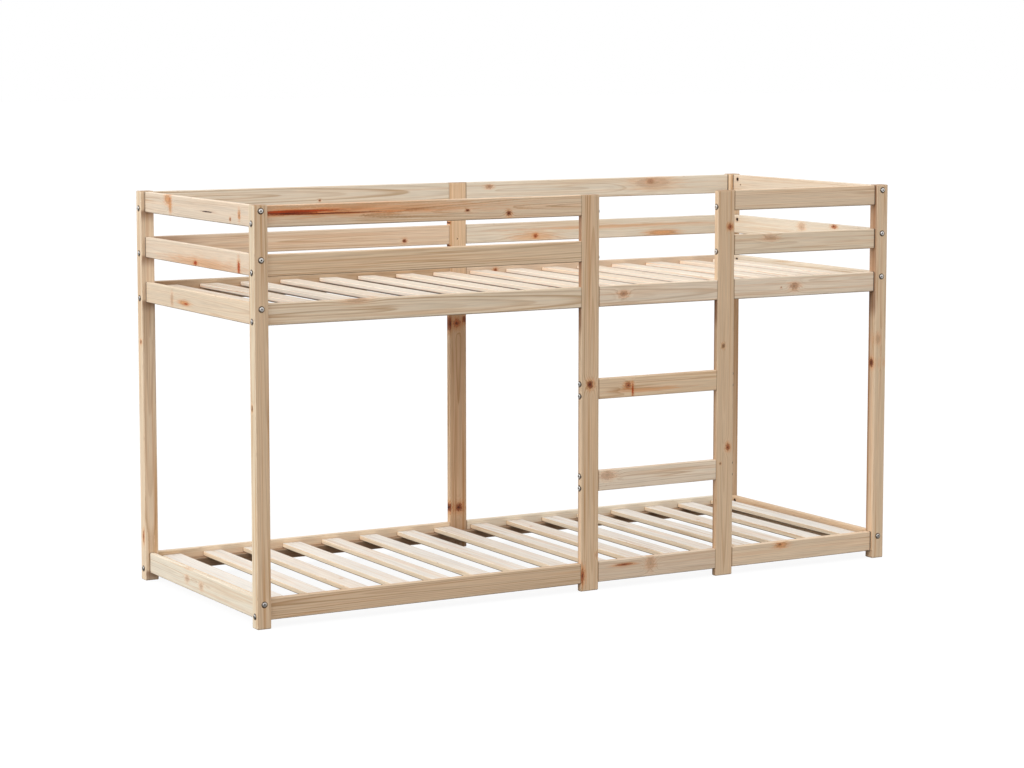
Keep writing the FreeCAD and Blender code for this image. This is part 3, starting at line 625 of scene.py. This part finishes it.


# Every board: seed of its grain, tone, heart line (along, across, through, in metres) and
# knots, each with its place, length, width (mm) and kind. taper leans the heart line, ring
# is the width of a year (mm), and contrast and streak say how strongly the rings and the
# brown streaks show. left, rear, dim, left_top, under, under_rails and corner tell which
# stretches get painted light and shade.
BOARDS = {
    # Front side
    "front_top_left_rail": dict(
        seed=1, tone="straw", heart=(0.9, 0.004, 0.012), taper=0.012, contrast=0.75, knots=(
            (-925, FRONT_Y, 1094, 150, 8, "dark"), (-900, FRONT_Y, 1098, 260, 7, "vivid"),
            (-820, FRONT_Y, 1090, 360, 4, "dark"), (-760, FRONT_Y, 1098, 620, 26, "stain"),
            (-262, FRONT_Y, 1073, 15, 14, "dark"), (-391, FRONT_Y, 1085, 11, 7, "dark"))),
    "front_guard_left_rail": dict(
        seed=2, tone="honey", heart=(-1.4, 0.03, 0.03), taper=0.010, contrast=0.8),
    "front_upper_left_rail": dict(
        seed=3, tone="pale", heart=(-0.30, -0.004, 0.009), taper=0.035, ring=7.5, contrast=0.95,
        knots=((-727, FRONT_Y, 858, 60, 14, "faint"),)),
    "front_lower_left_rail": dict(
        seed=4, tone="tan", heart=(1.2, 0.01, 0.020), taper=0.014, contrast=0.9),
    "front_top_right_rail": dict(seed=5, tone="straw", heart=(0.7, 0.02, 0.02), taper=0.010),
    "front_guard_right_rail": dict(seed=6, tone="pale", heart=(-0.6, 0.0, 0.02), knots=(
        (611, FRONT_Y, 975, 40, 14, "faint"),)),
    "front_upper_right_rail": dict(
        seed=7, tone="rose", heart=(0.5, 0.012, 0.006), taper=0.03, knots=(
            (697, FRONT_Y, 831, 30, 18, "soft"), (650, FRONT_Y, 829, 6, 5, "soft"))),
    "front_lower_right_rail": dict(seed=8, tone="straw", heart=(0.9, -0.02, 0.03), knots=(
        (661, FRONT_Y, 70, 40, 14, "orange"), (655, FRONT_Y, 71, 12, 7, "brown"))),
    "front_upper_ladder_rail": dict(seed=9, tone="rose", heart=(-0.8, 0.0, 0.02), knots=(
        (109, FRONT_Y, 835, 26, 15, "soft"),)),
    "front_lower_ladder_rail": dict(seed=10, tone="plain", heart=(0.5, 0.0, 0.01), knots=(
        (115, FRONT_Y, 64, 60, 7, "red"), (204, FRONT_Y, 60, 24, 30, "faint"))),
    "upper_rung": dict(seed=11, tone="honey", heart=(-0.5, -0.01, 0.02), knots=(
        (126, FRONT_Y, 576, 20, 16, "red"), (141, FRONT_Y, 562, 6, 34, "vivid"),
        (190, FRONT_Y, 560, 160, 8, "stain"))),
    "lower_rung": dict(seed=12, tone="rose", heart=(-0.3, 0.0, 0.01), knots=(
        (59, FRONT_Y, 325, 40, 22, "faint"),)),
    # Back side
    "back_top_left_rail": dict(
        seed=13, tone="grey", heart=(-0.28, 0.006, 0.009), taper=0.033, ring=7.0, contrast=0.85,
        knots=((-462, BACK_Y, 1075, 7, 6, "dark"),)),
    "back_guard_left_rail": dict(
        seed=14, tone="plain", corner="dusk", heart=(0.9, 0.0, 0.02), knots=(
            (-182, BACK_Y, 946, 14, 11, "dark"),)),
    "back_upper_left_rail": dict(seed=15, tone="dull", corner="dark", heart=(0.9, 0.02, 0.02)),
    "back_lower_left_rail": dict(seed=16, tone="pale", corner="shaded", heart=(0.9, -0.02, 0.02)),
    "back_top_right_rail": dict(
        seed=17, tone="grey", heart=(-0.4, 0.0, 0.004), taper=0.03, ring=6.0, knots=(
            (109, BACK_Y, 1101, 24, 12, "soft"), (691, BACK_Y, 1102, 22, 14, "soft"),
            (700, BACK_Y, 1098, 120, 30, "faint"))),
    "back_guard_right_rail": dict(seed=18, tone="grey", heart=(1.0, 0.0, 0.01), knots=(
        (272, BACK_Y, 945, 16, 12, "red"), (270, BACK_Y, 943, 110, 18, "stain"),
        (737, BACK_Y, 940, 90, 14, "orange"), (560, BACK_Y, 966, 500, 7, "stain"))),
    "back_upper_right_rail": dict(seed=19, tone="plain", heart=(1.2, 0.0, 0.02), knots=(
        (130, BACK_Y, 846, 14, 12, "red"),)),
    "back_lower_right_rail": dict(seed=20, tone="bright", heart=(1.2, 0.0, 0.03)),
    # Ends
    "left_end_top_rail": dict(seed=21, tone="rose", streak=0.2, heart=(-0.3, 0.0, 0.01), knots=(
        (LEFT_X, 200, 1104, 34, 22, "orange"), (LEFT_X, 182, 1088, 16, 34, "orange"),
        (LEFT_X, -281, 1085, 12, 24, "orange"), (LEFT_X, -281, 1084, 5, 9, "brown"),
        (LEFT_X, -223, 1071, 9, 9, "dark"), (LEFT_X, -70, 1083, 80, 4, "pin"))),
    "left_end_guard_rail": dict(seed=22, tone="rose", streak=0.2, heart=(-0.7, 0.0, 0.02), knots=(
        (LEFT_X, -275, 947, 15, 34, "vivid"), (LEFT_X, 12, 939, 22, 12, "vivid"),
        (LEFT_X, -40, 940, 330, 22, "stain"))),
    "left_end_upper_rail": dict(seed=23, tone="pale", streak=0.2, heart=(0.4, 0.0, 0.01), knots=(
        (LEFT_X, 178, 827, 14, 30, "faint"), (LEFT_X, 92, 823, 60, 11, "orange"),
        (LEFT_X, 80, 821, 24, 5, "vivid"))),
    "left_end_lower_rail": dict(seed=24, tone="bright", heart=(0.5, 0.0, 0.01), knots=(
        (LEFT_X, 96, 85, 30, 10, "faint"), (LEFT_X, 96, 51, 24, 16, "faint"),
        (LEFT_X, -1, 46, 22, 16, "faint"))),
    "right_end_top_rail": dict(seed=25, tone="cool", heart=(0.5, 0.0, 0.02), knots=(
        (RIGHT_X, 324, 1086, 6, 5, "pin"), *bore_shade(RAIL_LEVELS[3]))),
    "right_end_guard_rail": dict(seed=26, tone="grey", heart=(0.2, 0.0, 0.008), knots=(
        (RIGHT_X, -173, 981, 26, 13, "red"), (RIGHT_X, -7, 971, 30, 22, "faint"),
        *bore_shade(RAIL_LEVELS[2]))),
    "right_end_upper_rail": dict(
        seed=27, tone="grey", heart=(-0.4, 0.0, 0.02), knots=(*bore_shade(RAIL_LEVELS[1]),)),
    "right_end_lower_rail": dict(
        seed=28, tone="amber", heart=(0.6, 0.0, 0.02), knots=(*bore_shade(RAIL_LEVELS[0]),)),
    # Corner posts
    "front_left_post": dict(
        seed=29, tone="amber", left="bright", streak=1.0, heart=(0.5, 0.012, 0.01), contrast=0.6,
        knots=((POST_X, -379, 585, 16, 9, "brown"),)),
    "back_left_post": dict(
        seed=30, tone="straw", left="pale", under_rails="dusk", streak=1.0,
        heart=(0.9, 0.0, 0.01), contrast=0.7, knots=(
            (POST_X, 379, 688, 12, 10, "red"), (POST_X, 379, 127, 34, 10, "red"))),
    "front_right_post": dict(
        seed=31, tone="honey", left="plain", left_top=UPPER_BUNK, rear=0.4,
        dim=(0.76, TALL), streak=1.0, heart=(-0.6, 0.0, 0.01), knots=(
            (998, CORNER_Y, 660, 26, 14, "faint"), (987, -383, 588, 26, 20, "dark"))),
    "back_right_post": dict(
        seed=32, tone="honey", left="smoky", left_top=UPPER_BUNK, under="smoky", streak=0.9,
        heart=(0.7, 0.0, 0.02)),
    # Ladder posts and the middle post at the back
    "left_ladder_post": dict(
        seed=33, tone="amber", left="plain", rear=0.45, dim=(0.76, TALL), streak=1.0,
        heart=(-0.12, 0.008, 0.009), taper=0.03, ring=6.0, contrast=0.95, knots=(
            (0, FRONT_Y, 585, 22, 20, "dark"), (-24, FRONT_Y, 44, 40, 14, "red"),
            (23, FRONT_Y, 101, 14, 8, "faint"))),
    "right_ladder_post": dict(
        seed=34, tone="amber", left="smoky", left_top=UPPER_BUNK, rear=0.3,
        dim=(0.76, UPPER_BUNK), streak=0.9, heart=(0.9, 0.0, 0.02), knots=(
            (469, FRONT_Y, 1011, 17, 16, "red"), (449, FRONT_Y, 669, 13, 11, "brown"),
            (467, FRONT_Y, 374, 20, 15, "red"), (441, FRONT_Y, 328, 7, 6, "brown"))),
    "back_middle_post": dict(
        seed=35, tone="amber", left="pale", under="smoky", streak=1.0,
        heart=(0.6, 0.0, 0.01), contrast=0.8, knots=(
            (2, BACK_Y, 124, 26, 24, "dark"), (-29, 370, 126, 26, 10, "dark"),
            (-4, BACK_Y, 690, 26, 26, "red"), (22, BACK_Y, 700, 20, 12, "dark"),
            (-27, BACK_Y, 690, 44, 9, "dark"), (-1, BACK_Y, 946, 5, 5, "pin"),
            (-29, 369, 995, 7, 9, "dark"), (-29, 369, 925, 7, 8, "dark"))),
    # Battens under the slats; their dark tones are painted shade from the slats above
    "front_upper_ledger": dict(seed=36, tone="shaded", heart=(0.4, 0.02, 0.02)),
    "front_lower_ledger": dict(seed=37, tone="shaded", heart=(-0.4, 0.02, 0.02)),
    "back_upper_ledger": dict(seed=38, tone="shaded", heart=(0.8, -0.02, 0.02)),
    "back_lower_ledger": dict(seed=39, tone="dark", heart=(-0.8, 0.0, 0.02)),
}


# ---- Dowels and steel -----------------------------------------------------------------

BEECH = (0.66, 0.47, 0.30, 1)
BEECH_FLECK = (0.44, 0.27, 0.15, 1)
BRIGHT_ZINC = (0.95, 0.93, 0.90, 1)
DULL_ZINC = (0.72, 0.68, 0.60, 1)
DARK_STEEL = (0.025, 0.02, 0.018, 1)
GRIME = (0.11, 0.09, 0.07, 1)
FOOT_DARKENING = (0.05, 0.035, 0.025, 1)

# Height above its face over which a bolt head's darkening ends
HEAD_FOOT = (1.4 * MM, 2.2 * MM)


def dowel_material():
    """Turned beech: short dark flecks on a plain ground."""
    material, n = new_material("dowel_beech")
    point = n.add("ShaderNodeTexCoord").outputs["Object"]
    fleck = n.noise(n.vector("MULTIPLY", point, (900.0, 900.0, 900.0)), 1.0)
    wave = n.noise(n.vector("MULTIPLY", point, (60.0, 60.0, 60.0)), 2.0)
    color = n.mix(n.smooth(fleck, 0.08, 0.2), BEECH, BEECH_FLECK)
    color = n.mix(1.0, color, n.grey(n.math("MULTIPLY_ADD", wave, 0.3, 1.0)), "MULTIPLY")
    finish_wood(n, color, {"Height": fleck, "Roughness": n.math("MULTIPLY_ADD", wave, 0.2, 0.6)})
    return material


def steel_material(name, color, roughness, grime, heads=None):
    """Zinc-plated steel: mottled shine with darker patches where it was handled.

    heads gives the axis, middle, reach and outward sign of the faces that bolt heads sit
    on. The steel is darker within about 2 mm of such a face: at the foot of each head and deeper."""
    material, n = new_material(name)
    point = n.add("ShaderNodeTexCoord").outputs["Object"]
    mottle = n.noise(n.vector("MULTIPLY", point, (700.0, 700.0, 700.0)), 3.0, 0.6)
    patch = n.noise(n.vector("MULTIPLY", point, (160.0, 160.0, 160.0)), 2.0)
    base = n.mix(1.0, color, n.grey(n.math("MULTIPLY_ADD", mottle, 0.5, 1.0)), "MULTIPLY")
    base = n.mix(n.math("MULTIPLY", n.smooth(patch, -0.05, 0.25), grime), base, GRIME)
    if heads:
        axis, middle, reach, outward = heads
        away = n.math("ABSOLUTE", n.math("SUBTRACT", n.separate(point)[axis], middle * MM))
        depth = n.math("MULTIPLY", n.math("SUBTRACT", away, reach * MM), outward)
        base = n.mix(n.smooth(depth, *HEAD_FOOT, 0.96, 0.0), base, FOOT_DARKENING)
    shader = n.add("ShaderNodeBsdfPrincipled")
    shader.inputs["Metallic"].default_value = 1.0
    bump = n.add("ShaderNodeBump")
    bump.inputs["Strength"].default_value = 0.25
    bump.inputs["Distance"].default_value = 0.05 * MM
    n.feed(bump.inputs["Height"], mottle)
    n.feed(shader.inputs["Base Color"], base)
    n.feed(shader.inputs["Roughness"], n.math("MULTIPLY_ADD", patch, 0.25, roughness))
    n.feed(shader.inputs["Normal"], bump.outputs["Normal"])
    n.feed(n.add("ShaderNodeOutputMaterial").inputs["Surface"], shader.outputs[0])
    return material


def dress(node, material):
    """Give a CAD node one material in every slot."""
    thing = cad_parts[node]
    for slot in thing.material_slots:
        slot.material = material


for node, board in BOARDS.items():
    dress(node, board_material(node, board))
for node, slats in SLATS.items():
    dress(node, slat_material(node, slats))

# Bolt heads: axis, middle and reach of the faces they sit on, and the side they look to
BOLTS = {
    "side_rail_bolts": (0, 0, END_FACE, 1),
    "end_rail_bolts": (1, 0, SIDE_FACE, 1),
    "rung_bolts": (0, LADDER_X, RUNG_BOLT_REACH, 1),
    "guard_rail_bolts": (0, LADDER_X, GUARD_BOLT_REACH, -1),
    "joining_studs": None,
}
for node, heads in BOLTS.items():
    dress(node, steel_material(f"{node}_steel", BRIGHT_ZINC, 0.34, 0.2, heads))
nut_steel = steel_material("barrel_nut_steel", DARK_STEEL, 0.6, 0.7)
screw_steel = steel_material("screw_zinc", DULL_ZINC, 0.32, 0.2)
for node in ("side_rail_barrel_nuts", "end_rail_barrel_nuts", "rung_barrel_nuts"):
    dress(node, nut_steel)
for node in ("slat_screws", "ledger_screws"):
    dress(node, screw_steel)
dress("wooden_dowels", dowel_material())


# ---- Stage ----------------------------------------------------------------------------

FLOOR_REACH = 60.0
FLOOR_GLOW = 0.90
FLOOR_WHITE = (0.14, 0.14, 0.14, 1)
WHITE = (1, 1, 1, 1)
SKY_LOW, SKY_HIGH = (1.22, 1.19, 1.16, 1), (0.80, 0.82, 0.85, 1)
BELOW_FLOOR = (0.03, 0.024, 0.02, 1)
HORIZON = (-0.12, 0.02)

# The camera stands at the front left, above the bed, and looks slightly down
LENS = 95.66
SHIFT = -0.05
EYE = (-3.9555, -6.8217, 1.5371)
EYE_DOWN, EYE_RIGHT = 6.098, 29.941


def make_floor():
    r = FLOOR_REACH
    corners = [(-r, -r, 0), (r, -r, 0), (r, r, 0), (-r, r, 0)]
    mesh = bpy.data.meshes.new("floor")
    mesh.from_pydata(corners, [], [(0, 1, 2, 3)])
    floor = bpy.data.objects.new("floor", mesh)
    bpy.context.scene.collection.objects.link(floor)
    material, n = new_material("floor_pale")
    glow = n.add("ShaderNodeEmission")
    glow.inputs["Color"].default_value = WHITE
    glow.inputs["Strength"].default_value = FLOOR_GLOW
    matt = n.add("ShaderNodeBsdfDiffuse")
    matt.inputs["Color"].default_value = FLOOR_WHITE
    both = n.add("ShaderNodeAddShader")
    n.fill(both, (glow.outputs[0], matt.outputs[0]))
    n.feed(n.add("ShaderNodeOutputMaterial").inputs["Surface"], both.outputs[0])
    mesh.materials.append(material)
    floor.visible_diffuse = False
    floor.visible_glossy = False


def make_world():
    """White studio all round, dimmer from below."""
    world = bpy.data.worlds.new("studio")
    world.use_nodes = True
    world.node_tree.nodes.clear()
    n = Nodes(world.node_tree)
    height = n.separate(n.add("ShaderNodeTexCoord").outputs["Generated"])[2]
    sky = n.mix(n.smooth(height, 0.0, 1.0), SKY_LOW, SKY_HIGH)
    light = n.mix(n.smooth(height, *HORIZON), BELOW_FLOOR, sky)
    ground = n.add("ShaderNodeBackground")
    n.feed(ground.inputs["Color"], light)
    ground.inputs["Strength"].default_value = 1.0
    seen = n.add("ShaderNodeBackground")
    seen.inputs["Color"].default_value = WHITE
    choice = n.add("ShaderNodeMixShader")
    n.feed(choice.inputs[0], n.add("ShaderNodeLightPath").outputs["Is Camera Ray"])
    n.feed(choice.inputs[1], ground.outputs[0])
    n.feed(choice.inputs[2], seen.outputs[0])
    n.feed(n.add("ShaderNodeOutputWorld").inputs["Surface"], choice.outputs[0])
    bpy.context.scene.world = world


def add_sun(name, strength, azimuth, elevation, angle):
    """Very soft sun; azimuth is where it stands, 0 in front of the bed and 90 to its right."""
    light = bpy.data.lights.new(name, "SUN")
    light.energy = strength
    light.angle = math.radians(angle)
    lamp = bpy.data.objects.new(name, light)
    lamp.rotation_euler = (math.radians(90 - elevation), 0, math.radians(azimuth))
    bpy.context.scene.collection.objects.link(lamp)


def make_camera():
    camera = bpy.data.cameras.new("camera")
    camera.lens = LENS
    camera.sensor_width = 36
    camera.shift_y = SHIFT
    camera.clip_end = 200
    eye = bpy.data.objects.new("camera", camera)
    eye.location = EYE
    eye.rotation_euler = (math.radians(90 - EYE_DOWN), 0, math.radians(-EYE_RIGHT))
    bpy.context.scene.collection.objects.link(eye)
    bpy.context.scene.camera = eye


make_floor()
make_world()
add_sun("key", strength=1.2, azimuth=-80, elevation=32, angle=50)
make_camera()
bpy.context.scene.view_settings.view_transform = "Standard"
